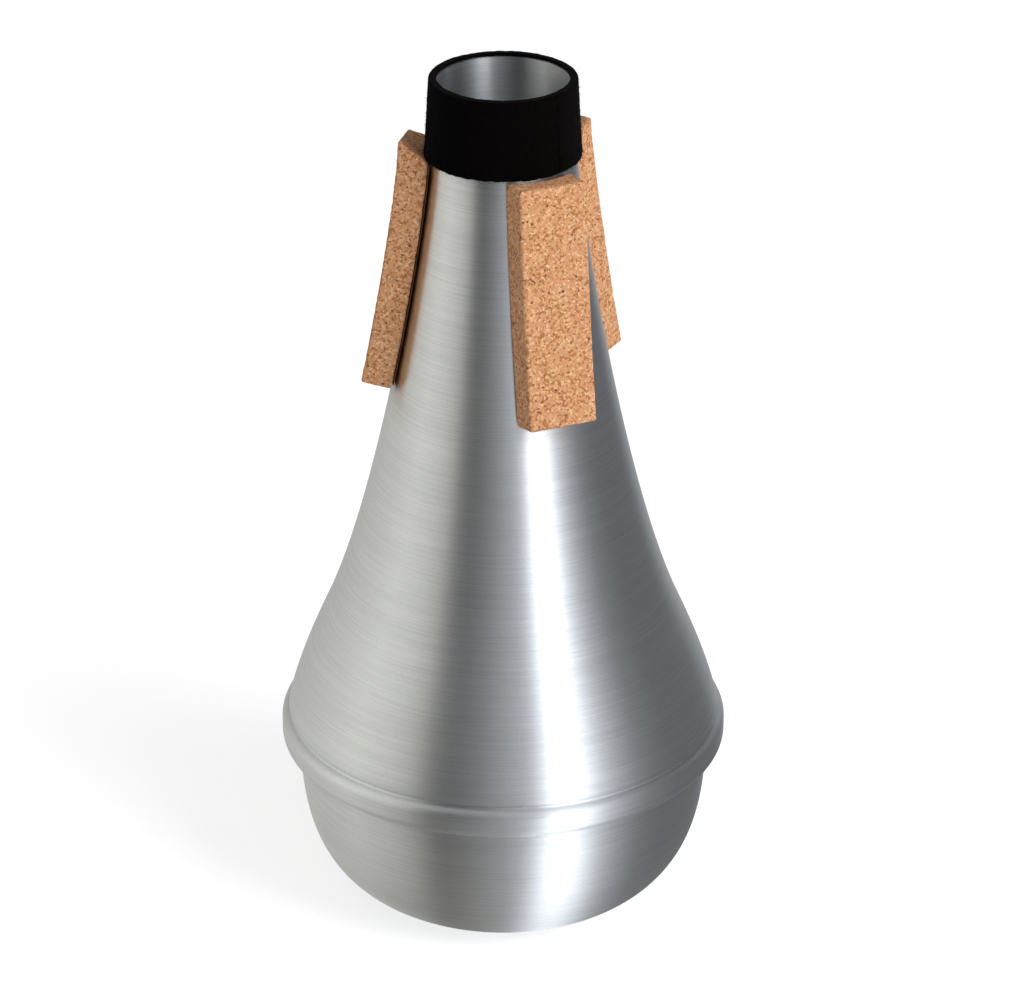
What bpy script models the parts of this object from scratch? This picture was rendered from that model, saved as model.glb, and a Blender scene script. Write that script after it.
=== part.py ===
"""Straight trumpet mute: a spun aluminium horn whose foot is crimped over a bowl-shaped base,
with a felt band round the neck and three cork strips that seat in the bell.

Metres, +Z up. The mute stands on its base at the origin and its axis is Z.
Azimuths turn about Z, from 0 on the -Y side towards +X.
"""
import math

import bmesh
import bpy
import numpy as np
from mathutils import Matrix, Vector

# Sheet, clearance and facets
SHEET = 0.0006             # spun aluminium
GAP = 0.0003               # clearance between pieces that touch
TURN_STEPS = 48            # facets round the axis

# Base bowl, a squared-off ellipse cut flat where it stands
BOWL_RADIUS = 0.0453
BOWL_BRIM_HEIGHT = 0.0385  # underside of the flange that the horn's hem grips
BOWL_OVERRUN = 0.0082      # the bowl's curve would reach its widest this far above the brim
BOWL_SQUARENESS = 3.5      # 2 is an ellipse, more is squarer at the shoulder
FOOT_RADIUS = 0.0140       # flat disc that the mute stands on
BOWL_STEPS = 13

# Rolled hem at the foot of the horn
HEM_OVERHANG = 0.0037      # the hem stands out this far over the bowl
HEM_HEIGHT = 0.0066
HEM_TOP_ROUND = 0.0018
HEM_LOW_ROUND = 0.0022
HEM_LIP_CLEARANCE = 0.0004  # between the hem's turned-in lip and the bowl
HEM_STEPS = 4
GROOVE_DEPTH = 0.0003      # pressed in between the horn's foot and its hem
GROOVE_RISE = 0.0004       # groove above the hem

# Horn, from its foot up to the rim: radii outside the sheet, each height above the one before
RIDGE_INSET = 0.00155      # inside the hem
RIDGE_RISE = 0.0014        # above the hem
BELLY_RADIUS = 0.0391
BELLY_RISE = 0.0230        # above the ridge
NECK_RADIUS = 0.0155
FLARE_LENGTH = 0.1067      # from the belly up to the foot of the neck
RIM_RADIUS = 0.0145
NECK_LENGTH = 0.0160       # from the foot of the neck up to the rim
RIDGE_SLOPE = 0.242        # radius gained per unit of drop
BELLY_SLOPE = 0.447
NECK_SLOPE = 0.061
RIDGE_REACH = 0.0076       # how far each slope carries into the curve
BELLY_LOW_REACH = 0.0071
BELLY_HIGH_REACH = 0.0283
NECK_REACH = 0.0133
BELLY_STEPS = 5
FLARE_STEPS = 11
FLARE_FINE_STEPS = 240     # for measuring along the flare

# Felt band, one strip wrapped round the neck and folded over the rim
BAND_THICKNESS = 0.0008
BAND_LIP = 0.0006          # over the rim
BAND_ROUND = 0.0004        # worn outer edges
BAND_ROUND_STEPS = 2
BAND_STEPS = 3             # up the neck
BAND_JOINT = 0.0004        # gap where the strip's two ends meet
BAND_JOINT_AZIMUTH = math.radians(45)

# Cork strips, bent to the flare and stuck on with contact cement
CORK_WIDTH = 0.0156
CORK_LENGTH = 0.0522
CORK_THICKNESS = 0.0052
CORK_BELOW_NECK = 0.0006   # from the band's foot down to a strip's inner end
CORK_WORN_EDGE = 0.0004
CEMENT_THICKNESS = 0.0002
CEMENT_INSET = 0.0008      # the cement stops short of the cork's edges
STRIP_LENGTH_CUTS = 8
STRIP_WIDTH_CUTS = 4

# How far the outer corners of a strip's obliquely cut top end stand above the inner ones
RIGHT_TOP_RISE = 0.0033
LEFT_TOP_FAR_RISE = 0.0042   # on the +azimuth side
LEFT_TOP_NEAR_RISE = 0.0015  # on the -azimuth side

# Each strip was placed by hand: azimuth of its centre line, lean of the line, and the rises of
# its top end on the +azimuth and -azimuth side
CORK_PLACES = {
    "front": (math.radians(27.0), math.radians(-1.6), 0.0, 0.0),
    "right": (math.radians(139.5), math.radians(-2.6), RIGHT_TOP_RISE, RIGHT_TOP_RISE),
    "left": (math.radians(-97.0), math.radians(2.0), LEFT_TOP_FAR_RISE, LEFT_TOP_NEAR_RISE),
}

# Radii and heights that follow from the sizes above
HEM_RADIUS = BOWL_RADIUS + HEM_OVERHANG
RIDGE_RADIUS = HEM_RADIUS - RIDGE_INSET
HEM_BOTTOM = BOWL_BRIM_HEIGHT - GAP - SHEET
HEM_TOP = HEM_BOTTOM + HEM_HEIGHT
RIDGE_HEIGHT = HEM_TOP + RIDGE_RISE
BELLY_HEIGHT = RIDGE_HEIGHT + BELLY_RISE
NECK_HEIGHT = BELLY_HEIGHT + FLARE_LENGTH
RIM_HEIGHT = NECK_HEIGHT + NECK_LENGTH

MERGE_DISTANCE = 0.000001


# Outlines: lists of (radius, height)

def curve_down(start, end, start_slope, end_slope, start_reach, end_reach, steps):
    """A Bezier from start down to end that leaves and arrives at the given slopes."""
    first, last = np.array(start), np.array(end)
    first_handle = first + start_reach * np.array([start_slope, -1.0])
    last_handle = last - end_reach * np.array([end_slope, -1.0])
    points = []
    for t in np.linspace(0.0, 1.0, steps + 1):
        s = 1.0 - t
        point = s**3 * first + 3 * s * s * t * first_handle + 3 * s * t * t * last_handle + t**3 * last
        points.append((float(point[0]), float(point[1])))
    return points


def arc(centre, radius, start_degrees, end_degrees, steps):
    angles = np.radians(np.linspace(start_degrees, end_degrees, steps + 1))
    return [(centre[0] + radius * math.cos(a), centre[1] + radius * math.sin(a)) for a in angles]


def offset(path, distance):
    """The path moved to its left by distance, with mitred corners."""
    points = np.array(path)
    directions = np.diff(points, axis=0)
    directions /= np.linalg.norm(directions, axis=1)[:, None]
    lefts = np.stack([-directions[:, 1], directions[:, 0]], axis=1)
    moved = []
    for index, point in enumerate(points):
        before = lefts[max(index - 1, 0)]
        after = lefts[min(index, len(lefts) - 1)]
        mitre = (before + after) / (1.0 + before.dot(after))
        moved.append(tuple(float(value) for value in point + distance * mitre))
    return moved


def flare(steps):
    """Outside of the horn from the foot of the neck down to the belly."""
    return curve_down((NECK_RADIUS, NECK_HEIGHT), (BELLY_RADIUS, BELLY_HEIGHT),
                      NECK_SLOPE, BELLY_SLOPE, NECK_REACH, BELLY_HIGH_REACH, steps)


def horn_outside():
    """Outside of the horn from the rim down, over the groove and round the hem to its lip."""
    belly = curve_down((BELLY_RADIUS, BELLY_HEIGHT), (RIDGE_RADIUS, RIDGE_HEIGHT),
                       BELLY_SLOPE, RIDGE_SLOPE, BELLY_LOW_REACH, RIDGE_REACH, BELLY_STEPS)
    groove = (RIDGE_RADIUS - GROOVE_DEPTH, HEM_TOP + GROOVE_RISE)
    top_centre = (HEM_RADIUS - HEM_TOP_ROUND, HEM_TOP - HEM_TOP_ROUND)
    low_centre = (HEM_RADIUS - HEM_LOW_ROUND, HEM_BOTTOM + HEM_LOW_ROUND)
    path = [(RIM_RADIUS, RIM_HEIGHT)] + flare(FLARE_STEPS) + belly[1:] + [groove]
    path += arc(top_centre, HEM_TOP_ROUND, 75, 0, HEM_STEPS)
    path += arc(low_centre, HEM_LOW_ROUND, 0, -90, HEM_STEPS)
    path.append((BOWL_RADIUS + HEM_LIP_CLEARANCE, HEM_BOTTOM))
    return path


def bowl_outside():
    """Outside of the base from the axis, over the foot and up the bowl, then out round the flange."""
    centre_height = BOWL_BRIM_HEIGHT + BOWL_OVERRUN
    power = 2.0 / BOWL_SQUARENESS
    foot_angle = math.acos((FOOT_RADIUS / BOWL_RADIUS) ** (1.0 / power))
    depth = centre_height / math.sin(foot_angle) ** power
    brim_angle = math.asin((BOWL_OVERRUN / depth) ** (1.0 / power))
    path = [(0.0, 0.0)]
    for angle in np.linspace(foot_angle, brim_angle, BOWL_STEPS + 1):
        radius = BOWL_RADIUS * math.cos(angle) ** power
        path.append((radius, centre_height - depth * math.sin(angle) ** power))
    path[1] = (FOOT_RADIUS, 0.0)
    flange_round = HEM_LOW_ROUND - SHEET - GAP
    flange_centre = (HEM_RADIUS - HEM_LOW_ROUND, BOWL_BRIM_HEIGHT + flange_round)
    path += arc(flange_centre, flange_round, -90, 0, HEM_STEPS)
    path.append((HEM_RADIUS - SHEET - GAP, HEM_TOP - HEM_TOP_ROUND))
    return path


def band_outline():
    """Section of the felt band: up the neck, over the rim, and back down its outer face."""
    bore = RIM_RADIUS - SHEET
    inner_foot = (NECK_RADIUS + GAP, NECK_HEIGHT)
    inner_top = (RIM_RADIUS + GAP, RIM_HEIGHT + GAP)
    lip_top = RIM_HEIGHT + GAP + BAND_LIP
    outer_top = RIM_RADIUS + GAP + BAND_THICKNESS
    outer_foot = NECK_RADIUS + GAP + BAND_THICKNESS
    path = []
    for share in np.linspace(0.0, 1.0, BAND_STEPS + 1):
        path.append((inner_foot[0] + share * (inner_top[0] - inner_foot[0]),
                     inner_foot[1] + share * (inner_top[1] - inner_foot[1])))
    path += [(bore, RIM_HEIGHT + GAP), (bore, lip_top)]
    path += arc((outer_top - BAND_ROUND, lip_top - BAND_ROUND), BAND_ROUND, 90, 0, BAND_ROUND_STEPS)
    path += arc((outer_foot - BAND_ROUND, NECK_HEIGHT + BAND_ROUND), BAND_ROUND, 0, -90,
                BAND_ROUND_STEPS)
    return path


# Places on the flare

class FlareRule:
    """Measures along the outside of the horn, down from the foot of the neck, and up it as less
    than nothing."""

    def __init__(self):
        self.points = np.array([(RIM_RADIUS, RIM_HEIGHT)] + flare(FLARE_FINE_STEPS))
        steps = np.linalg.norm(np.diff(self.points, axis=0), axis=1)
        self.distances = np.append(0.0, np.cumsum(steps)) - steps[0]

    def at(self, distance):
        """Radius and height at a distance, and the outward normal there."""
        radius = np.interp(distance, self.distances, self.points[:, 0])
        height = np.interp(distance, self.distances, self.points[:, 1])
        index = int(np.clip(np.searchsorted(self.distances, distance), 1, len(self.points) - 1))
        drop = self.points[index] - self.points[index - 1]
        drop /= np.linalg.norm(drop)
        return radius, height, (-drop[1], drop[0])


def place_on_flare(rule, azimuth, lean, across, along, lift, flatness):
    """A point of a strip, given by where it lies across and along the strip and how high over
    the sheet. Flatness 0 follows the round of the sheet, and 1 is level across the strip."""
    middle = CORK_BELOW_NECK + CORK_LENGTH / 2
    distance = middle + (along - middle) * math.cos(lean) - across * math.sin(lean)
    sideways = (along - middle) * math.sin(lean) + across * math.cos(lean)
    radius, height, normal = rule.at(distance)
    fall = (radius - math.sqrt(radius * radius - sideways * sideways)) * normal[0]
    lift -= fall * (1.0 - flatness)
    out = radius + normal[0] * lift
    outward = Vector((math.sin(azimuth), -math.cos(azimuth), 0.0))
    tangent = Vector((math.cos(azimuth), math.sin(azimuth), 0.0))
    return outward * out + tangent * sideways + Vector((0.0, 0.0, height + normal[1] * lift))


# Objects

def make_material(name, colour, roughness, metallic):
    material = bpy.data.materials.new(name)
    material.use_nodes = True
    shader = material.node_tree.nodes["Principled BSDF"]
    shader.inputs["Base Color"].default_value = (*colour, 1.0)
    shader.inputs["Roughness"].default_value = roughness
    shader.inputs["Metallic"].default_value = metallic
    return material


def add_object(name, mesh_builder, material, parent, sharp_degrees):
    mesh = bpy.data.meshes.new(name)
    mesh_builder.to_mesh(mesh)
    mesh_builder.free()
    mesh.materials.append(material)
    mesh.shade_smooth()
    mesh.set_sharp_from_angle(angle=math.radians(sharp_degrees))
    thing = bpy.data.objects.new(name, mesh)
    bpy.context.collection.objects.link(thing)
    thing.parent = parent
    return thing


def lay_outline(path, closed):
    """A bmesh that holds the path as a chain of edges on the +X side."""
    builder = bmesh.new()
    corners = [builder.verts.new((radius, 0.0, height)) for radius, height in path]
    for first, second in zip(corners, corners[1:]):
        builder.edges.new((first, second))
    if closed:
        builder.edges.new((corners[-1], corners[0]))
    return builder


def turn_outline(builder, angle, full_turn):
    bmesh.ops.spin(builder, geom=builder.verts[:] + builder.edges[:], cent=(0, 0, 0), axis=(0, 0, 1),
                   angle=angle, steps=TURN_STEPS, use_merge=full_turn)
    bmesh.ops.remove_doubles(builder, verts=builder.verts, dist=MERGE_DISTANCE)


def build_horn(parent):
    outside = horn_outside()
    inside = offset(outside, -SHEET)
    builder = lay_outline(outside + inside[::-1], closed=True)
    turn_outline(builder, math.tau, full_turn=True)
    bmesh.ops.recalc_face_normals(builder, faces=builder.faces)
    metal = make_material("horn_spun_aluminium", (0.58, 0.59, 0.60), 0.24, 1.0)
    return add_object("horn_shell", builder, metal, parent, 35)


def build_base(parent):
    outside = bowl_outside()
    inside = offset(outside, SHEET)
    builder = lay_outline(outside + inside[::-1], closed=False)
    turn_outline(builder, math.tau, full_turn=True)
    bmesh.ops.recalc_face_normals(builder, faces=builder.faces)
    metal = make_material("base_spun_aluminium", (0.52, 0.53, 0.55), 0.22, 1.0)
    return add_object("base_bowl", builder, metal, parent, 35)


def build_band(parent):
    builder = lay_outline(band_outline(), closed=True)
    open_angle = BAND_JOINT / (NECK_RADIUS + GAP + BAND_THICKNESS)
    turn_outline(builder, math.tau - open_angle, full_turn=False)
    ends = [edge for edge in builder.edges if edge.is_boundary]
    bmesh.ops.holes_fill(builder, edges=ends)
    bmesh.ops.recalc_face_normals(builder, faces=builder.faces)
    # The outline starts on +X, which is azimuth 90 degrees
    turn = BAND_JOINT_AZIMUTH - math.radians(90) + open_angle / 2
    bmesh.ops.rotate(builder, verts=builder.verts, cent=(0, 0, 0), matrix=Matrix.Rotation(turn, 3, "Z"))
    felt = make_material("band_black_felt", (0.004, 0.0035, 0.003), 0.95, 0.0)
    return add_object("neck_band", builder, felt, parent, 50)


def bench_block():
    """A block from -0.5 to 0.5 each way, cut across its length and its width."""
    builder = bmesh.new()
    bmesh.ops.create_cube(builder, size=1.0)
    for axis, cuts in ((1, STRIP_LENGTH_CUTS), (0, STRIP_WIDTH_CUTS)):
        rails = [e for e in builder.edges if abs(e.verts[0].co[axis] - e.verts[1].co[axis]) > 0.5]
        bmesh.ops.subdivide_edges(builder, edges=rails, cuts=cuts, use_grid_fill=True)
    return builder


def build_cork(name, rule, place, parent):
    azimuth, lean, far_rise, near_rise = place
    stand_off = GAP + CEMENT_THICKNESS + GAP
    builder = bench_block()
    for vertex in builder.verts:
        across, along, level = vertex.co.x, 0.5 - vertex.co.y, vertex.co.z + 0.5
        rise = level * (near_rise + (across + 0.5) * (far_rise - near_rise))
        top = CORK_BELOW_NECK - rise
        bottom = CORK_BELOW_NECK + CORK_LENGTH
        vertex.co = place_on_flare(rule, azimuth, lean, across * CORK_WIDTH,
                                   top + along * (bottom - top),
                                   stand_off + level * CORK_THICKNESS, level)
    cork = make_material(name + "_agglomerated_cork", (0.66, 0.40, 0.19), 0.85, 0.0)
    strip = add_object(name, builder, cork, parent, 30)
    worn = strip.modifiers.new("worn_edges", "BEVEL")
    worn.width = CORK_WORN_EDGE
    worn.segments = 1
    worn.limit_method = "ANGLE"
    worn.angle_limit = math.radians(50)
    return strip


def build_cement(name, rule, place, parent):
    azimuth, lean = place[:2]
    builder = bench_block()
    for vertex in builder.verts:
        across, along, level = vertex.co.x, 0.5 - vertex.co.y, vertex.co.z + 0.5
        along_strip = CORK_BELOW_NECK + CEMENT_INSET + along * (CORK_LENGTH - 2 * CEMENT_INSET)
        vertex.co = place_on_flare(rule, azimuth, lean, across * (CORK_WIDTH - 2 * CEMENT_INSET),
                                   along_strip, GAP + level * CEMENT_THICKNESS, 0.0)
    cement = make_material(name + "_contact_cement", (0.12, 0.06, 0.03), 0.5, 0.0)
    return add_object(name, builder, cement, parent, 30)


def clear_scene():
    for thing in list(bpy.data.objects):
        bpy.data.objects.remove(thing, do_unlink=True)


def main():
    clear_scene()
    mute = bpy.data.objects.new("mute", None)
    bpy.context.collection.objects.link(mute)
    build_base(mute)
    build_horn(mute)
    build_band(mute)
    rule = FlareRule()
    for side, place in CORK_PLACES.items():
        build_cork("cork_strip_" + side, rule, place, mute)
        build_cement("cork_cement_" + side, rule, place, mute)


main()
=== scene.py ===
"""Looks of a straight trumpet mute: two spun aluminium shells, a felt band and three cork strips.

Metres, +Z up. Azimuths turn about Z, from 0 on the camera's side (-Y) towards +X.
"""

import math

import bmesh
import bpy
import numpy as np
from bpy.props import FloatProperty, FloatVectorProperty, IntProperty, PointerProperty
from mathutils import Matrix, Vector, noise


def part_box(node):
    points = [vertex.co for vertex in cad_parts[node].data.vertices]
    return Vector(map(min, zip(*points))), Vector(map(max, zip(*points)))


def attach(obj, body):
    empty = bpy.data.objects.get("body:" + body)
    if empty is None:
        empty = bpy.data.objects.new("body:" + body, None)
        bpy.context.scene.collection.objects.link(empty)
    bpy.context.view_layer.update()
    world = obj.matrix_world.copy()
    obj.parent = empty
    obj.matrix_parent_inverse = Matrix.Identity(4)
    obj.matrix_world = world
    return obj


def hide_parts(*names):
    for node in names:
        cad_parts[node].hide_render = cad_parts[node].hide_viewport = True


bl_info = {
    "name": "Straight mute",
    "version": (1, 0, 0),
    "blender": (4, 5, 0),
    "location": "3D View > Sidebar > Mute",
    "description": "Builds the finished pieces of a straight mute over its CAD frame",
    "category": "Object",
}

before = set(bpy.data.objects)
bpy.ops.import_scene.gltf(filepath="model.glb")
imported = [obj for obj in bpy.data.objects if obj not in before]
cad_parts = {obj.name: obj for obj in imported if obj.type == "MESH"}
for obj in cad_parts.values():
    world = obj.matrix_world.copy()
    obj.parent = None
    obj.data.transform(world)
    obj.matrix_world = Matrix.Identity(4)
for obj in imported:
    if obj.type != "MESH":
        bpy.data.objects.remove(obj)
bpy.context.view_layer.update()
MERGE_DISTANCE = 0.000001
MM = 0.001
SIDES = ("front", "right", "left")   # of the cork strips and their cement

# Heights and radii that the frame gives
FOOT_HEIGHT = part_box("base_bowl")[0].z
HORN_LOW, HORN_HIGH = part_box("horn_shell")
BAND_LOW, BAND_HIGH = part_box("neck_band")
RIM_HEIGHT = HORN_HIGH.z
HEM_BOTTOM = HORN_LOW.z
NECK_HEIGHT = BAND_LOW.z
HEM_RADIUS = HORN_HIGH.x


def linear(hex_colour):
    """An sRGB hex colour as linear red, green and blue."""
    channels = [int(hex_colour[i:i + 2], 16) / 255 for i in (1, 3, 5)]
    return tuple(c / 12.92 if c <= 0.04045 else ((c + 0.055) / 1.055) ** 2.4 for c in channels)


def length(label, default, text):
    return FloatProperty(name=label, description=text, default=default, unit="LENGTH", precision=5)


def colour(label, hex_colour, text):
    return FloatVectorProperty(name=label, description=text, subtype="COLOR", size=3, min=0.0, max=1.0,
                               default=linear(hex_colour))


class MuteShellSizes(bpy.types.PropertyGroup):
    sheet: length("Sheet", 0.0006, "Thickness of the spun sheet")
    gap: length("Gap", 0.0003, "Clearance between pieces that touch")
    steps: IntProperty(name="Steps", description="Facets round the axis", default=240, min=24)
    rim_radius: length("Rim radius", 0.0145, "Outside of the metal at the open end")
    neck_radius: length("Neck radius", 0.0155, "Outside of the metal under the band's foot")
    belly_radius: length("Belly radius", 0.0391, "Where the flare turns over into the belly")
    belly_height: length("Belly height", 0.0686, "Height of that place above the foot")
    ridge_radius: length("Ridge radius", 0.04745, "Lower end of the belly, over the groove")
    ridge_height: length("Ridge height", 0.0456, "Height of the ridge above the foot")
    groove_depth: length("Groove depth", 0.0004, "Pressed in between the ridge and the hem")
    hem_height: length("Hem height", 0.0066, "From the hem's underside to its top")
    hem_top_round: length("Hem top round", 0.0018, "Radius of the hem's upper shoulder")
    hem_low_round: length("Hem low round", 0.0022, "Radius of the hem's lower shoulder")
    bowl_radius: length("Bowl radius", 0.0453, "Widest part of the bowl")
    bowl_overrun: length("Bowl overrun", 0.0082, "The bowl's curve would be widest this far over its brim")
    bowl_squareness: FloatProperty(name="Bowl squareness", description="2 is an ellipse", default=3.5)
    foot_radius: length("Foot radius", 0.0140, "Flat disc that the mute stands on")


class MuteFinishes(bpy.types.PropertyGroup):
    metal: colour("Metal", "#E8E9EA", "Spun aluminium")
    metal_dark: colour("Metal in the lines", "#D4D6DA", "Aluminium at the bottom of the turning lines")
    metal_roughness: FloatProperty(name="Roughness", description="Of the brushed metal", default=0.40)
    line_pitch: length("Line pitch", 0.0003, "Spacing of the turning lines")
    felt: colour("Felt", "#070505", "Black felt")
    felt_nap: length("Nap", 0.0009, "Length of the fibres that stand off the felt")
    cork: colour("Cork", "#DCA073", "Most of the cork granules")
    cork_pale: colour("Pale cork", "#EBBC92", "The palest granules")
    cork_dark: colour("Dark cork", "#B97C50", "Granules with bark in them")
    cork_speck: colour("Specks", "#7E4D2C", "Bark specks")
    granule: length("Granule", 0.00046, "Width of a cork granule")
    cement: colour("Cement", "#6E4526", "Dried contact cement")


class MuteStudio(bpy.types.PropertyGroup):
    camera_distance: length("Camera distance", 0.850, "From the mute's axis")
    camera_height: length("Camera height", 0.513, "Above the foot")
    camera_pitch: FloatProperty(name="Camera pitch", description="Downwards", subtype="ANGLE",
                                default=math.radians(26.221))
    lens: FloatProperty(name="Lens", description="Focal length in mm on a 36 mm sensor", default=155.63)
    shift: FloatProperty(name="Shift", description="Sideways, as a share of the width", default=0.00178)
    floor: colour("Floor", "#F4F4F4", "Pale floor")


# Outlines: lists of (radius, height)

def curve_down(start, end, start_slope, end_slope, start_reach, end_reach, steps):
    """A Bezier from start down to end that leaves and arrives at the given slopes."""
    first, last = np.array(start), np.array(end)
    first_handle = first + start_reach * np.array([start_slope, -1.0])
    last_handle = last - end_reach * np.array([end_slope, -1.0])
    points = []
    for t in np.linspace(0.0, 1.0, steps + 1):
        s = 1.0 - t
        point = s**3 * first + 3 * s * s * t * first_handle + 3 * s * t * t * last_handle + t**3 * last
        points.append((float(point[0]), float(point[1])))
    return points


def arc(centre, radius, start_degrees, end_degrees, steps):
    angles = np.radians(np.linspace(start_degrees, end_degrees, steps + 1))
    return [(centre[0] + radius * math.cos(a), centre[1] + radius * math.sin(a)) for a in angles]


def offset(path, distance):
    """The path moved to its left by distance, with mitred corners."""
    points = np.array(path)
    directions = np.diff(points, axis=0)
    directions /= np.linalg.norm(directions, axis=1)[:, None]
    lefts = np.stack([-directions[:, 1], directions[:, 0]], axis=1)
    moved = []
    for index, point in enumerate(points):
        before = lefts[max(index - 1, 0)]
        after = lefts[min(index, len(lefts) - 1)]
        mitre = (before + after) / (1.0 + before.dot(after))
        moved.append(tuple(float(value) for value in point + distance * mitre))
    return moved


NECK_SLOPE, BELLY_SLOPE, RIDGE_SLOPE = 0.061, 0.447, 0.242   # radius gained per unit of drop
NECK_REACH, BELLY_HIGH_REACH = 0.0133, 0.0283                # how far each slope carries
BELLY_LOW_REACH, RIDGE_REACH = 0.0071, 0.0076
GROOVE_DROP = 0.0003         # the groove's bottom lies this far below halfway from ridge to hem
GROOVE_UPPER_RISE, GROOVE_UPPER_SHARE = 0.0005, 0.4   # its upper side: how far up, how deep
GROOVE_LOWER_FALL, GROOVE_LOWER_SHARE = 0.0003, 0.5   # its lower side: how far down, how deep
HEM_START_DEGREES = 88       # where the hem's shoulder leaves the groove
FLARE_STEPS, BELLY_STEPS, HEM_STEPS, BOWL_STEPS = 60, 22, 10, 44


def horn_outside(sizes):
    """Outside of the horn from the rim down, over the groove and round the hem to its lip."""
    hem_top = HEM_BOTTOM + sizes.hem_height
    belly = (sizes.belly_radius, sizes.belly_height)
    ridge = (sizes.ridge_radius, sizes.ridge_height)
    groove_height = (ridge[1] + hem_top) / 2 - GROOVE_DROP
    top_centre = (HEM_RADIUS - sizes.hem_top_round, hem_top - sizes.hem_top_round)
    low_centre = (HEM_RADIUS - sizes.hem_low_round, HEM_BOTTOM + sizes.hem_low_round)
    path = [(sizes.rim_radius, RIM_HEIGHT)]
    path += curve_down((sizes.neck_radius, NECK_HEIGHT), belly, NECK_SLOPE, BELLY_SLOPE,
                       NECK_REACH, BELLY_HIGH_REACH, FLARE_STEPS)
    path += curve_down(belly, ridge, BELLY_SLOPE, RIDGE_SLOPE,
                       BELLY_LOW_REACH, RIDGE_REACH, BELLY_STEPS)[1:]
    path += [(sizes.ridge_radius - sizes.groove_depth * GROOVE_UPPER_SHARE,
              groove_height + GROOVE_UPPER_RISE),
             (sizes.ridge_radius - sizes.groove_depth, groove_height),
             (sizes.ridge_radius - sizes.groove_depth * GROOVE_LOWER_SHARE,
              groove_height - GROOVE_LOWER_FALL)]
    path += arc(top_centre, sizes.hem_top_round, HEM_START_DEGREES, 0, HEM_STEPS)
    path += arc(low_centre, sizes.hem_low_round, 0, -90, HEM_STEPS)
    path.append((sizes.bowl_radius + sizes.gap, HEM_BOTTOM))
    return path


def bowl_outside(sizes):
    """Outside of the base from the axis, over the foot and up the bowl, then out round the flange."""
    brim = HEM_BOTTOM + sizes.gap + sizes.sheet
    centre_height = brim + sizes.bowl_overrun
    power = 2.0 / sizes.bowl_squareness
    foot_angle = math.acos((sizes.foot_radius / sizes.bowl_radius) ** (1.0 / power))
    depth = centre_height / math.sin(foot_angle) ** power
    brim_angle = math.asin((sizes.bowl_overrun / depth) ** (1.0 / power))
    path = [(0.0, FOOT_HEIGHT)]
    for angle in np.linspace(foot_angle, brim_angle, BOWL_STEPS + 1):
        radius = sizes.bowl_radius * math.cos(angle) ** power
        path.append((radius, centre_height - depth * math.sin(angle) ** power))
    path[1] = (sizes.foot_radius, FOOT_HEIGHT)
    flange_round = sizes.hem_low_round - sizes.sheet - sizes.gap
    path += arc((HEM_RADIUS - sizes.hem_low_round, brim + flange_round), flange_round, -90, 0, HEM_STEPS)
    path.append((HEM_RADIUS - sizes.sheet - sizes.gap,
                 HEM_BOTTOM + sizes.hem_height - sizes.hem_top_round))
    return path


BAND_ROUND = 0.0004
BAND_ROUND_STEPS = 5
BAND_ROWS = 56
BAND_JOINT_WIDTH = 0.00012
BAND_JOINT_AZIMUTH = math.radians(45)


def band_outline(sizes):
    """Section of the felt band: up the neck, over the rim, and back down its outer face."""
    bore = sizes.rim_radius - sizes.sheet
    lip_top = BAND_HIGH.z
    outer_foot = BAND_HIGH.x
    outer_top = outer_foot - (sizes.neck_radius - sizes.rim_radius)
    lip_foot = RIM_HEIGHT + sizes.gap
    path = [(sizes.neck_radius + sizes.gap, NECK_HEIGHT), (sizes.rim_radius + sizes.gap, lip_foot),
            (bore, lip_foot), (bore, lip_top), ((bore + outer_top) / 2, lip_top)]
    path += arc((outer_top - BAND_ROUND, lip_top - BAND_ROUND), BAND_ROUND, 90, 0, BAND_ROUND_STEPS)
    for share in np.linspace(0.0, 1.0, BAND_ROWS)[1:-1]:
        path.append((outer_top + share * (outer_foot - outer_top),
                     lip_top - BAND_ROUND + share * (NECK_HEIGHT + 2 * BAND_ROUND - lip_top)))
    path += arc((outer_foot - BAND_ROUND, NECK_HEIGHT + BAND_ROUND), BAND_ROUND, 0, -90,
                BAND_ROUND_STEPS)
    return path


# Meshes

def lay_outline(path, closed):
    """A bmesh that holds the path as a chain of edges on the +X side."""
    builder = bmesh.new()
    corners = [builder.verts.new((radius, 0.0, height)) for radius, height in path]
    for first, second in zip(corners, corners[1:]):
        builder.edges.new((first, second))
    if closed:
        builder.edges.new((corners[-1], corners[0]))
    return builder


def turn_outline(builder, angle, steps, full_turn):
    bmesh.ops.spin(builder, geom=builder.verts[:] + builder.edges[:], cent=(0, 0, 0), axis=(0, 0, 1),
                   angle=angle, steps=steps, use_merge=full_turn)
    bmesh.ops.remove_doubles(builder, verts=builder.verts, dist=MERGE_DISTANCE)
    bmesh.ops.recalc_face_normals(builder, faces=builder.faces)


def finish_piece(name, builder, material, replaced, sharp_degrees=35):
    """Turns the bmesh into a piece, which stands for the replaced CAD node if one is named."""
    mesh = bpy.data.meshes.new(name)
    builder.to_mesh(mesh)
    builder.free()
    mesh.materials.append(material)
    mesh.shade_smooth()
    mesh.set_sharp_from_angle(angle=math.radians(sharp_degrees))
    piece = bpy.data.objects.new(name, mesh)
    bpy.context.scene.collection.objects.link(piece)
    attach(piece, "root")
    if replaced:
        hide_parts(replaced)


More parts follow.
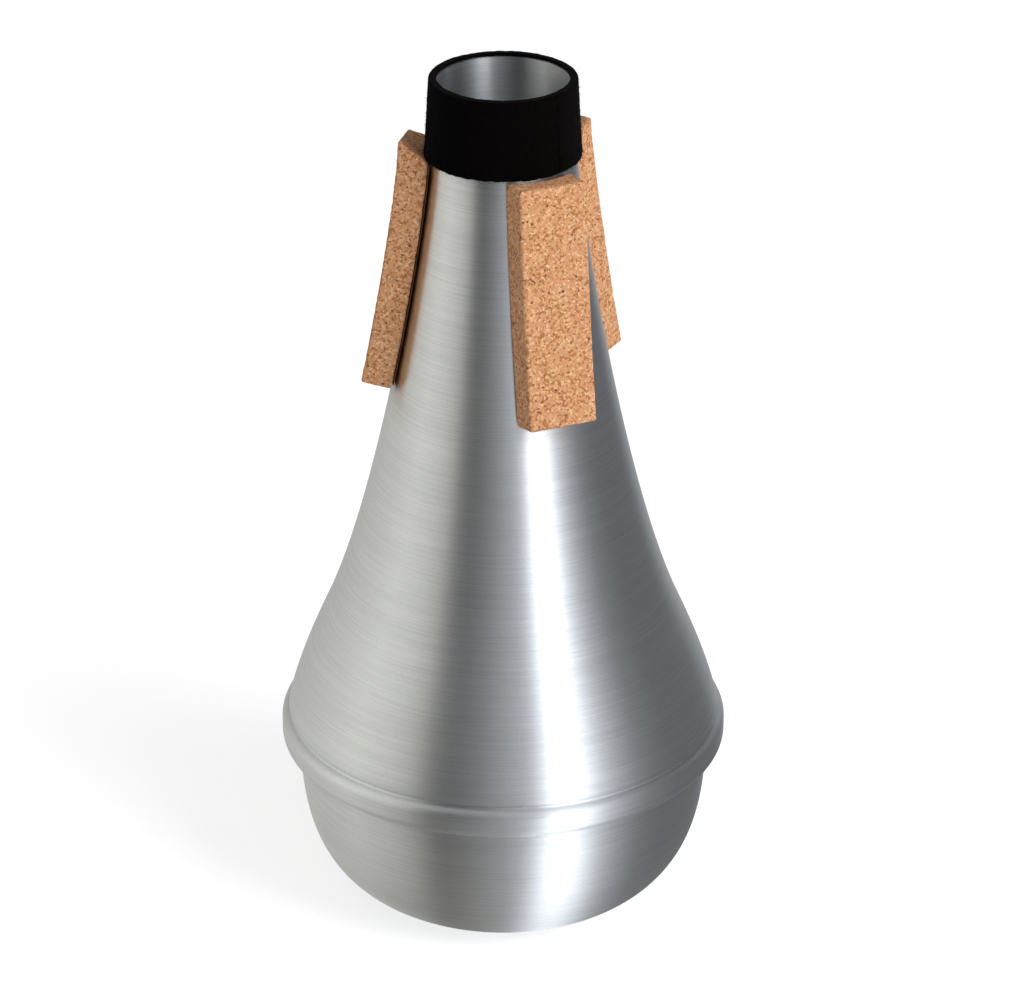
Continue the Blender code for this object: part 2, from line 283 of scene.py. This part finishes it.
def fine_copy(node, voxel):
    """The CAD node's solid as a bmesh of small even faces."""
    builder = bmesh.new()
    builder.from_mesh(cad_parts[node].data)
    bmesh.ops.remove_doubles(builder, verts=builder.verts, dist=MERGE_DISTANCE)
    mesh = bpy.data.meshes.new(node + "_coarse")
    builder.to_mesh(mesh)
    builder.free()
    coarse = bpy.data.objects.new(node + "_coarse", mesh)
    bpy.context.scene.collection.objects.link(coarse)
    remesh = coarse.modifiers.new("even_faces", "REMESH")
    remesh.mode = "VOXEL"
    remesh.voxel_size = voxel
    depsgraph = bpy.context.evaluated_depsgraph_get()
    fine = bpy.data.meshes.new_from_object(coarse.evaluated_get(depsgraph))
    bpy.data.objects.remove(coarse)
    bpy.data.meshes.remove(mesh)
    builder = bmesh.new()
    builder.from_mesh(fine)
    bpy.data.meshes.remove(fine)
    builder.normal_update()
    return builder


# Materials

def add(tree, kind, inputs=None, **settings):
    """Adds a node, with its settings, and its inputs set or linked."""
    node = tree.nodes.new(kind)
    for name, value in settings.items():
        setattr(node, name, value)
    for socket, value in (inputs or {}).items():
        if isinstance(value, bpy.types.NodeSocket):
            tree.links.new(value, node.inputs[socket])
        else:
            node.inputs[socket].default_value = value
    return node


def new_material(name):
    material = bpy.data.materials.new(name)
    material.use_nodes = True
    return material, material.node_tree, material.node_tree.nodes["Principled BSDF"]


def solid(rgb):
    return (*rgb, 1.0)


WHITE = (1.0, 1.0, 1.0, 1.0)
LINE_STRETCH, PASS_STRETCH = 40.0, 12.0   # repeats per metre round the axis, so the lines run long
PASS_WIDTH = 9               # of the tool's passes, in line pitches
GRIT = 0.22 * MM             # abrasive grit, drawn coarse enough to show
LINE_DEPTH = 0.03 * MM
ROUGHNESS_SPREAD = 0.02      # between one pass and the next


def turned_aluminium(name, radius_sign, looks):
    """Spun aluminium dressed with fine abrasive on the lathe. Its fine lines run round the axis, so
    highlights stretch along the outline, and a little grain sparkles between the lines. The sign
    is -1 where the radius shrinks upwards and 1 where it grows, so that lines keep their spacing."""
    material, tree, shader = new_material(name)
    place = add(tree, "ShaderNodeTexCoord").outputs["Object"]
    apart = add(tree, "ShaderNodeSeparateXYZ", {0: place})
    flat = add(tree, "ShaderNodeCombineXYZ", {"X": apart.outputs["X"], "Y": apart.outputs["Y"]})
    radius = add(tree, "ShaderNodeVectorMath", {0: flat.outputs[0]}, operation="LENGTH")
    along = add(tree, "ShaderNodeMath", {0: radius.outputs["Value"], 1: radius_sign,
                                         2: apart.outputs["Z"]}, operation="MULTIPLY_ADD")
    wrapped = add(tree, "ShaderNodeCombineXYZ", {"X": apart.outputs["X"], "Y": apart.outputs["Y"],
                                                 "Z": along.outputs[0]})
    fine = add(tree, "ShaderNodeMapping", {"Vector": wrapped.outputs[0],
                                           "Scale": (LINE_STRETCH, LINE_STRETCH,
                                                     1 / looks.line_pitch)})
    lines = add(tree, "ShaderNodeTexNoise", {"Vector": fine.outputs[0], "Scale": 1.0, "Detail": 3.0,
                                             "Roughness": 0.65})
    wide = add(tree, "ShaderNodeMapping", {"Vector": wrapped.outputs[0],
                                           "Scale": (PASS_STRETCH, PASS_STRETCH,
                                                     1 / (PASS_WIDTH * looks.line_pitch))})
    passes = add(tree, "ShaderNodeTexNoise", {"Vector": wide.outputs[0], "Scale": 1.0, "Detail": 2.0})
    grain = add(tree, "ShaderNodeTexNoise", {"Vector": place, "Scale": 1 / GRIT, "Detail": 2.0,
                                             "Roughness": 0.7})
    mixed = add(tree, "ShaderNodeMix", {"Factor": 0.45, "A": lines.outputs["Fac"],
                                        "B": grain.outputs["Fac"]}, data_type="FLOAT")
    spread = add(tree, "ShaderNodeMapRange", {"Value": mixed.outputs["Result"], "From Min": 0.36,
                                              "From Max": 0.60})
    tone = add(tree, "ShaderNodeMix", {"Factor": spread.outputs["Result"], "A": solid(looks.metal_dark),
                                       "B": solid(looks.metal)}, data_type="RGBA")
    rough = add(tree, "ShaderNodeMapRange", {"Value": passes.outputs["Fac"],
                                             "From Min": 0.3, "From Max": 0.7,
                                             "To Min": looks.metal_roughness - ROUGHNESS_SPREAD,
                                             "To Max": looks.metal_roughness + ROUGHNESS_SPREAD})
    relief = add(tree, "ShaderNodeBump", {"Height": mixed.outputs["Result"], "Strength": 0.09,
                                          "Distance": LINE_DEPTH})
    tree.links.new(tone.outputs["Result"], shader.inputs["Base Color"])
    tree.links.new(rough.outputs["Result"], shader.inputs["Roughness"])
    tree.links.new(relief.outputs["Normal"], shader.inputs["Normal"])
    shader.inputs["Metallic"].default_value = 1.0
    shader.inputs["Anisotropic"].default_value = 1.0
    shader.inputs["Anisotropic Rotation"].default_value = 0.25
    return material


STRIP_STEP = (0.013, 0.007)  # how far apart in the block of cork the strips are cut
CORK_MOTTLE = 0.35 * MM
CORK_PITS = 0.12 * MM        # depth of the torn pits


def agglomerated_cork(name, looks, strip):
    """Fine cork granules pressed with a binder and sawn: tan, with pale grains, brown grains, bark
    specks and small torn pits."""
    material, tree, shader = new_material(name)
    place = add(tree, "ShaderNodeTexCoord").outputs["Object"]
    moved = add(tree, "ShaderNodeMapping", {"Vector": place, "Location": (strip * STRIP_STEP[0],
                                                                          strip * STRIP_STEP[1], 0.0)})
    warp = add(tree, "ShaderNodeTexNoise", {"Vector": moved.outputs[0], "Scale": 0.9 / looks.granule,
                                            "Detail": 2.0})
    shove = add(tree, "ShaderNodeVectorMath", {0: warp.outputs["Color"], 1: (0.5, 0.5, 0.5)},
                operation="SUBTRACT")
    warped = add(tree, "ShaderNodeVectorMath", {0: shove.outputs[0], 1: (0.7 * looks.granule,) * 3,
                                                2: moved.outputs[0]}, operation="MULTIPLY_ADD")
    grains = add(tree, "ShaderNodeTexVoronoi", {"Vector": warped.outputs[0], "Scale": 1 / looks.granule})
    shade = add(tree, "ShaderNodeSeparateColor", {"Color": grains.outputs["Color"]})
    tones = add(tree, "ShaderNodeValToRGB", {"Fac": shade.outputs["Red"]})
    stops = tones.color_ramp.elements
    stops[0].position = 0.0
    stops[0].color = solid(looks.cork_speck)
    stops[1].position = 1.0
    stops[1].color = solid(looks.cork_pale)
    for position, rgb in ((0.035, looks.cork_dark), (0.16, looks.cork_dark), (0.30, looks.cork),
                          (0.72, looks.cork), (0.88, looks.cork_pale)):
        stops.new(position).color = solid(rgb)
    joints = add(tree, "ShaderNodeTexVoronoi", {"Vector": warped.outputs[0], "Scale": 1 / looks.granule},
                 feature="DISTANCE_TO_EDGE")
    seam = add(tree, "ShaderNodeMapRange", {"Value": joints.outputs["Distance"], "From Min": 0.0,
                                            "From Max": 0.10, "To Min": 0.80, "To Max": 1.0})
    mottle = add(tree, "ShaderNodeTexNoise", {"Vector": place, "Scale": 1 / CORK_MOTTLE, "Detail": 3.0})
    mottled = add(tree, "ShaderNodeMapRange", {"Value": mottle.outputs["Fac"], "From Min": 0.3,
                                               "From Max": 0.7, "To Min": 0.84, "To Max": 1.12})
    depth = add(tree, "ShaderNodeMath", {0: seam.outputs["Result"], 1: mottled.outputs["Result"]},
                operation="MULTIPLY")
    toned = add(tree, "ShaderNodeVectorMath", {0: tones.outputs["Color"], "Scale": depth.outputs[0]},
                operation="SCALE")
    height = add(tree, "ShaderNodeMath", {0: shade.outputs["Green"], 1: 0.5, 2: seam.outputs["Result"]},
                 operation="MULTIPLY_ADD")
    relief = add(tree, "ShaderNodeBump", {"Height": height.outputs[0], "Strength": 0.55,
                                          "Distance": CORK_PITS})
    tree.links.new(toned.outputs[0], shader.inputs["Base Color"])
    tree.links.new(relief.outputs["Normal"], shader.inputs["Normal"])
    shader.inputs["Roughness"].default_value = 0.82
    shader.inputs["Specular IOR Level"].default_value = 0.3
    return material


TUFT = 0.3 * MM              # width of a tuft of matted fibres
TUFT_DEPTH = 0.15 * MM


def black_felt(name, looks):
    """Dyed wool felt: it swallows light, with a faint sheen where the nap is seen edge on."""
    material, tree, shader = new_material(name)
    place = add(tree, "ShaderNodeTexCoord").outputs["Object"]
    nap = add(tree, "ShaderNodeTexNoise", {"Vector": place, "Scale": 1 / TUFT, "Detail": 4.0,
                                           "Roughness": 0.7})
    lift = add(tree, "ShaderNodeMapRange", {"Value": nap.outputs["Fac"], "From Min": 0.35,
                                            "From Max": 0.75, "To Min": 0.6, "To Max": 2.2})
    toned = add(tree, "ShaderNodeVectorMath", {0: (*looks.felt,), "Scale": lift.outputs["Result"]},
                operation="SCALE")
    relief = add(tree, "ShaderNodeBump", {"Height": nap.outputs["Fac"], "Strength": 0.8,
                                          "Distance": TUFT_DEPTH})
    tree.links.new(toned.outputs[0], shader.inputs["Base Color"])
    tree.links.new(relief.outputs["Normal"], shader.inputs["Normal"])
    shader.inputs["Roughness"].default_value = 1.0
    shader.inputs["Specular IOR Level"].default_value = 0.0
    shader.inputs["Sheen Weight"].default_value = 0.02
    shader.inputs["Sheen Roughness"].default_value = 0.5
    return material


BRUSH_MARK = 1.5 * MM        # width of a mark left by the cement's brush


def dried_cement(name, looks):
    """Contact cement brushed on thin and dried: brown, uneven and slightly glossy."""
    material, tree, shader = new_material(name)
    place = add(tree, "ShaderNodeTexCoord").outputs["Object"]
    brushed = add(tree, "ShaderNodeTexNoise", {"Vector": place, "Scale": 1 / BRUSH_MARK, "Detail": 3.0})
    tone = add(tree, "ShaderNodeMapRange", {"Value": brushed.outputs["Fac"], "From Min": 0.3,
                                            "From Max": 0.7, "To Min": 0.6, "To Max": 1.4})
    toned = add(tree, "ShaderNodeVectorMath", {0: (*looks.cement,), "Scale": tone.outputs["Result"]},
                operation="SCALE")
    tree.links.new(toned.outputs[0], shader.inputs["Base Color"])
    shader.inputs["Roughness"].default_value = 0.5
    return material


# Pieces

class MUTE_OT_horn(bpy.types.Operator):
    """Turn the horn with its hem"""
    bl_idname = "mute.horn"
    bl_label = "Horn"

    def execute(self, context):
        sizes = context.scene.mute_sizes
        outside = horn_outside(sizes)
        builder = lay_outline(outside + offset(outside, -sizes.sheet)[::-1], closed=True)
        turn_outline(builder, math.tau, sizes.steps, full_turn=True)
        metal = turned_aluminium("turned_aluminium_horn", -1.0, context.scene.mute_finishes)
        finish_piece("horn", builder, metal, "horn_shell")
        return {"FINISHED"}


class MUTE_OT_bowl(bpy.types.Operator):
    """Turn the bowl-shaped base"""
    bl_idname = "mute.bowl"
    bl_label = "Bowl"

    def execute(self, context):
        sizes = context.scene.mute_sizes
        outside = bowl_outside(sizes)
        builder = lay_outline(outside + offset(outside, sizes.sheet)[::-1], closed=False)
        turn_outline(builder, math.tau, sizes.steps, full_turn=True)
        metal = turned_aluminium("turned_aluminium_bowl", 1.0, context.scene.mute_finishes)
        finish_piece("bowl", builder, metal, "base_bowl")
        return {"FINISHED"}


FELT_WAVE = 0.00012          # how uneven the felt's face is
FELT_LUMP, LUMP_SHARE = 0.0011, 0.6     # width of its small unevenness, and that one's share
FELT_SWELL, SWELL_SHARE = 0.004, 0.4    # the same for the large unevenness
FELT_PRESSED = 0.4           # share of the wave by which the whole face is pressed in
FRAYED_EDGE = 0.0005         # how far the cut lower edge wanders
FRAY_PITCH = 0.0016
FRAY_MEAN, FRAY_SPREAD = 0.35, 0.5      # in shares of the frayed edge
FELT_SHARP_DEGREES = 60
NAP_COUNT = 2600
NAP_SEED = 7
NAP_ROOT_RADIUS, NAP_TIP_RADIUS = 0.00003, 0.00001
NAP_EDGE_SHARE = 0.03        # of the band's height: the lowest part, where every third fibre stands
NAP_JOINT_SPREAD = 0.05      # in radians, for the fibres beside the joint
NAP_SUNK = 0.00012           # depth of a root in the felt
NAP_TAPER = 0.001            # how much the band narrows towards the rim
NAP_FOOT_CLEAR = 0.0001      # height with no roots at the foot
NAP_ENDS_CLEAR = 0.0004      # the same at the foot and the top together
NAP_TANGLE, NAP_OUTWARD, NAP_HANG = 0.5, 0.7, 0.6   # how fibres lean: any way, out, and down
NAP_SHORTEST = 0.3           # of the nap's length


class MUTE_OT_band(bpy.types.Operator):
    """Wrap the felt band, with the fibres that stand off it"""
    bl_idname = "mute.band"
    bl_label = "Felt band"

    def execute(self, context):
        sizes, looks = context.scene.mute_sizes, context.scene.mute_finishes
        builder = lay_outline(band_outline(sizes), closed=True)
        open_angle = BAND_JOINT_WIDTH / BAND_HIGH.x
        turn_outline(builder, math.tau - open_angle, sizes.steps, full_turn=False)
        ends = [edge for edge in builder.edges if edge.is_boundary]
        bmesh.ops.holes_fill(builder, edges=ends)
        bmesh.ops.recalc_face_normals(builder, faces=builder.faces)
        turn = BAND_JOINT_AZIMUTH - math.radians(90) + open_angle / 2
        bmesh.ops.rotate(builder, verts=builder.verts, cent=(0, 0, 0),
                         matrix=Matrix.Rotation(turn, 3, "Z"))
        builder.normal_update()
        for vertex in builder.verts:
            outer = vertex.co.xy.length > sizes.neck_radius + sizes.gap + FELT_WAVE
            if outer or vertex.co.z > BAND_HIGH.z - BAND_ROUND:
                swell = (noise.noise(vertex.co / FELT_LUMP) * LUMP_SHARE
                         + noise.noise(vertex.co / FELT_SWELL) * SWELL_SHARE)
                vertex.co += vertex.normal * FELT_WAVE * (swell - FELT_PRESSED)
            if outer and vertex.co.z < NECK_HEIGHT + FRAYED_EDGE:
                fray = noise.noise(vertex.co.xy.to_3d() / FRAY_PITCH)
                vertex.co.z -= FRAYED_EDGE * (FRAY_MEAN + FRAY_SPREAD * fray)
        felt = black_felt("black_wool_felt", looks)
        finish_piece("felt_band", builder, felt, "neck_band", FELT_SHARP_DEGREES)
        self.add_nap(looks, felt)
        return {"FINISHED"}

    def add_nap(self, looks, felt):
        """Loose fibres, thickest along the cut lower edge and beside the joint."""
        draw = np.random.default_rng(NAP_SEED)
        builder = bmesh.new()
        height = BAND_HIGH.z - BAND_LOW.z
        for index in range(NAP_COUNT):
            azimuth = draw.uniform(0.0, math.tau)
            share = draw.uniform(0.0, 1.0)
            if index % 3 == 0:
                share = draw.uniform(0.0, NAP_EDGE_SHARE)
            elif index % 12 == 1:
                azimuth = BAND_JOINT_AZIMUTH + draw.normal(0.0, NAP_JOINT_SPREAD)
            reach = BAND_HIGH.x - share * NAP_TAPER - NAP_SUNK
            root = Vector((math.sin(azimuth) * reach, -math.cos(azimuth) * reach,
                           BAND_LOW.z + share * (height - NAP_ENDS_CLEAR) + NAP_FOOT_CLEAR))
            out = Vector((math.sin(azimuth), -math.cos(azimuth), 0.0))
            hang = Vector((0, 0, NAP_HANG if share < NAP_EDGE_SHARE else 0.0))
            lean = Vector(draw.normal(0.0, NAP_TANGLE, 3)) + out * NAP_OUTWARD - hang
            lean.normalize()
            long = looks.felt_nap * draw.uniform(NAP_SHORTEST, 1.0)
            turn = lean.to_track_quat("Z", "Y").to_matrix().to_4x4()
            bmesh.ops.create_cone(builder, cap_ends=True, segments=3, radius1=NAP_ROOT_RADIUS,
                                  radius2=NAP_TIP_RADIUS, depth=long,
                                  matrix=Matrix.Translation(root + lean * long / 2) @ turn)
        finish_piece("felt_nap", builder, felt, None)


CORK_VOXEL = 0.00033         # even faces this wide, fine enough for the crumbs
CORK_WEAR = 0.00010
CRUMB_WIDTH, CRUMB_DEPTH = 1.6, 0.7     # in granules, and in shares of the wear
CHIP_WIDTH, CHIP_DEPTH = 3.5, 3.0       # the same for the chips
CHIP_RARITY = 0.28           # a larger one leaves fewer chips
CORK_RUBBED = 0.2            # share of the wear that is gone all over
CORK_SHARP_DEGREES = 60


class MUTE_OT_corks(bpy.types.Operator):
    """Cut the three cork strips"""
    bl_idname = "mute.corks"
    bl_label = "Cork strips"

    def execute(self, context):
        looks = context.scene.mute_finishes
        for strip, side in enumerate(SIDES, 1):
            builder = fine_copy("cork_strip_" + side, CORK_VOXEL)
            for vertex in builder.verts:
                crumb = noise.noise(vertex.co / (CRUMB_WIDTH * looks.granule))
                chip = min(0.0, noise.noise(vertex.co / (CHIP_WIDTH * looks.granule)) + CHIP_RARITY)
                loss = CRUMB_DEPTH * crumb + CHIP_DEPTH * chip - CORK_RUBBED
                vertex.co += vertex.normal * CORK_WEAR * loss
            cork = agglomerated_cork("agglomerated_cork_" + side, looks, strip)
            finish_piece("cork_" + side, builder, cork, "cork_strip_" + side,
                         CORK_SHARP_DEGREES)
        return {"FINISHED"}


class MUTE_OT_cement(bpy.types.Operator):
    """Give the cement films their finish"""
    bl_idname = "mute.cement"
    bl_label = "Cement films"

    def execute(self, context):
        cement = dried_cement("dried_contact_cement", context.scene.mute_finishes)
        for side in SIDES:
            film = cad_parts["cork_cement_" + side]
            film.data.materials.clear()
            film.data.materials.append(cement)
        return {"FINISHED"}


WARM_WALL = "#FFFFF6"
COOL_WALL = "#F6FAFF"
# Brightness of the studio's walls as the metal sees them: azimuth in degrees, strength and tint
WALLS = (
    (-180, 0.50, WARM_WALL), (-157, 0.58, WARM_WALL), (-110, 0.86, WARM_WALL), (-85, 1.06, WARM_WALL),
    (-62, 0.86, WARM_WALL), (-48, 0.56, WARM_WALL), (-42, 0.28, WARM_WALL), (-36, 0.09, COOL_WALL),
    (-25, 0.07, COOL_WALL), (-10, 0.22, COOL_WALL), (2, 0.48, COOL_WALL), (13, 0.62, COOL_WALL),
    (21, 0.90, COOL_WALL), (25, 2.60, COOL_WALL), (42, 2.60, COOL_WALL), (50, 1.35, COOL_WALL),
    (60, 0.76, COOL_WALL), (74, 0.34, COOL_WALL), (95, 0.20, COOL_WALL), (135, 0.17, COOL_WALL),
    (158, 0.48, COOL_WALL), (180, 0.50, WARM_WALL),
)
# The same for the low part of the room, which the bowl reflects
LOW_WALLS = (
    (-180, 0.30, WARM_WALL), (-75, 0.24, WARM_WALL), (-45, 0.34, WARM_WALL), (-15, 0.50, WARM_WALL),
    (8, 0.50, COOL_WALL), (17, 0.75, COOL_WALL), (22, 2.20, COOL_WALL), (40, 2.20, COOL_WALL),
    (50, 0.85, COOL_WALL), (64, 0.34, COOL_WALL), (95, 0.18, COOL_WALL), (180, 0.30, WARM_WALL),
)
LOW_FROM, LOW_BY = -0.30, -0.62    # a reflected ray's Z where the low walls start and where they rule
HIGH_FROM, HIGH_BY = 0.75, 0.95    # the same for the ceiling
WALL_PEAK = 2.60             # strength of the brightest wall
EVEN_LIGHT = 0.33            # for all but reflections
CEILING_LIGHT = 0.9
FLOOR_GLOW = 0.57            # of the floor to the camera alone
FLOOR_SIZE = 6.0
FLOOR_DROP = 0.0002
# Name, azimuth in degrees, height, distance from the axis, width and watts
LAMPS = (("key_lamp", 52, 0.70, 0.9, 0.7, 8.0), ("fill_lamp", -10, 0.9, 0.9, 0.8, 1.2))
LAMP_AIM = Vector((0, 0, 0.09))


class MUTE_OT_stage(bpy.types.Operator):
    """Set up the pale floor, the soft lamps, the room and the camera"""
    bl_idname = "mute.stage"
    bl_label = "Studio"

    def execute(self, context):
        studio = context.scene.mute_studio
        self.lay_floor(studio)
        self.hang_lamps()
        self.paint_room(context.scene)
        self.place_camera(context.scene, studio)
        context.scene.view_settings.view_transform = "Standard"
        return {"FINISHED"}

    def lay_floor(self, studio):
        builder = bmesh.new()
        bmesh.ops.create_grid(builder, x_segments=1, y_segments=1, size=FLOOR_SIZE / 2)
        bmesh.ops.translate(builder, verts=builder.verts, vec=(0, 0, -FLOOR_DROP))
        mesh = bpy.data.meshes.new("floor")
        builder.to_mesh(mesh)
        builder.free()
        material, tree, shader = new_material("pale_paper_floor")
        shader.inputs["Base Color"].default_value = solid(studio.floor)
        shader.inputs["Roughness"].default_value = 0.9
        rays = add(tree, "ShaderNodeLightPath")
        seen = add(tree, "ShaderNodeMath", {0: rays.outputs["Is Camera Ray"], 1: FLOOR_GLOW},
                   operation="MULTIPLY")
        shader.inputs["Emission Color"].default_value = WHITE
        tree.links.new(seen.outputs[0], shader.inputs["Emission Strength"])
        mesh.materials.append(material)
        floor = bpy.data.objects.new("floor", mesh)
        floor.visible_glossy = False
        bpy.context.scene.collection.objects.link(floor)

    def hang_lamps(self):
        """A soft key lamp on the right, and a weak fill over the front."""
        for name, azimuth, height, distance, size, watts in LAMPS:
            data = bpy.data.lights.new(name, "AREA")
            data.size = size
            data.energy = watts
            lamp = bpy.data.objects.new(name, data)
            angle = math.radians(azimuth)
            lamp.location = (math.sin(angle) * distance, -math.cos(angle) * distance, height)
            aim = LAMP_AIM - lamp.location
            lamp.rotation_euler = aim.to_track_quat("-Z", "Y").to_euler()
            lamp.visible_glossy = False
            bpy.context.scene.collection.objects.link(lamp)

    def paint_room(self, scene):
        """White to the camera, with light and dark walls for the metal, and even light for the rest."""
        world = bpy.data.worlds.new("studio_room")
        scene.world = world
        world.use_nodes = True
        tree = world.node_tree
        tree.nodes.clear()
        way = add(tree, "ShaderNodeTexCoord").outputs["Generated"]
        apart = add(tree, "ShaderNodeSeparateXYZ", {0: way})
        ahead = add(tree, "ShaderNodeMath", {0: apart.outputs["Y"], 1: -1.0}, operation="MULTIPLY")
        azimuth = add(tree, "ShaderNodeMath", {0: apart.outputs["X"], 1: ahead.outputs[0]},
                      operation="ARCTAN2")
        share = add(tree, "ShaderNodeMapRange", {"Value": azimuth.outputs[0], "From Min": -math.pi,
                                                 "From Max": math.pi})
        rings = []
        for stations in (WALLS, LOW_WALLS):
            ring = add(tree, "ShaderNodeValToRGB", {"Fac": share.outputs["Result"]})
            stops = ring.color_ramp.elements
            for _ in stations[2:]:
                stops.new(1.0)
            for stop, (degrees, strength, tint) in zip(stops, stations):
                stop.position = (degrees + 180) / 360
                stop.color = solid([strength / WALL_PEAK * channel for channel in linear(tint)])
            rings.append(ring.outputs["Color"])
        low = add(tree, "ShaderNodeMapRange", {"Value": apart.outputs["Z"], "From Min": LOW_FROM,
                                               "From Max": LOW_BY})
        walls = add(tree, "ShaderNodeMix", {"Factor": low.outputs["Result"], "A": rings[0],
                                            "B": rings[1]}, data_type="RGBA")
        room = add(tree, "ShaderNodeBackground", {"Color": walls.outputs["Result"],
                                                  "Strength": WALL_PEAK})
        ceiling = add(tree, "ShaderNodeBackground", {"Strength": CEILING_LIGHT})
        high = add(tree, "ShaderNodeMapRange", {"Value": apart.outputs["Z"], "From Min": HIGH_FROM,
                                                "From Max": HIGH_BY})
        around = add(tree, "ShaderNodeMixShader", {0: high.outputs["Result"], 1: room.outputs[0],
                                                   2: ceiling.outputs[0]})
        even = add(tree, "ShaderNodeBackground", {"Color": WHITE, "Strength": EVEN_LIGHT})
        white = add(tree, "ShaderNodeBackground", {"Color": WHITE, "Strength": 1.0})
        rays = add(tree, "ShaderNodeLightPath")
        lit = add(tree, "ShaderNodeMixShader", {0: rays.outputs["Is Glossy Ray"], 1: even.outputs[0],
                                                2: around.outputs[0]})
        seen = add(tree, "ShaderNodeMixShader", {0: rays.outputs["Is Camera Ray"], 1: lit.outputs[0],
                                                 2: white.outputs[0]})
        add(tree, "ShaderNodeOutputWorld", {"Surface": seen.outputs[0]})

    def place_camera(self, scene, studio):
        data = bpy.data.cameras.new("camera")
        data.sensor_width = 36.0
        data.sensor_fit = "HORIZONTAL"
        data.lens = studio.lens
        data.shift_x = studio.shift
        data.clip_end = 50.0
        camera = bpy.data.objects.new("camera", data)
        camera.location = (0.0, -studio.camera_distance, studio.camera_height)
        camera.rotation_euler = (math.radians(90) - studio.camera_pitch, 0.0, 0.0)
        scene.collection.objects.link(camera)
        scene.camera = camera


OPERATORS = (MUTE_OT_stage, MUTE_OT_bowl, MUTE_OT_horn, MUTE_OT_band, MUTE_OT_cement, MUTE_OT_corks)


class MUTE_PT_panel(bpy.types.Panel):
    """Lists the mute's pieces in the sidebar"""
    bl_idname = "MUTE_PT_panel"
    bl_label = "Straight mute"
    bl_space_type = "VIEW_3D"
    bl_region_type = "UI"
    bl_category = "Mute"

    def draw(self, context):
        for operator in OPERATORS:
            self.layout.operator(operator.bl_idname)
        for group in (context.scene.mute_sizes, context.scene.mute_finishes, context.scene.mute_studio):
            box = self.layout.box()
            for name in group.__annotations__:
                box.prop(group, name)


CLASSES = (MuteShellSizes, MuteFinishes, MuteStudio, *OPERATORS, MUTE_PT_panel)


def register():
    for each in CLASSES:
        bpy.utils.register_class(each)
    bpy.types.Scene.mute_sizes = PointerProperty(type=MuteShellSizes)
    bpy.types.Scene.mute_finishes = PointerProperty(type=MuteFinishes)
    bpy.types.Scene.mute_studio = PointerProperty(type=MuteStudio)


def unregister():
    del bpy.types.Scene.mute_studio
    del bpy.types.Scene.mute_finishes
    del bpy.types.Scene.mute_sizes
    for each in reversed(CLASSES):
        bpy.utils.unregister_class(each)


def main():
    register()
    bpy.ops.mute.stage()
    bpy.ops.mute.bowl()
    bpy.ops.mute.horn()
    bpy.ops.mute.band()
    bpy.ops.mute.cement()
    bpy.ops.mute.corks()


if __name__ == "__main__":
    main()
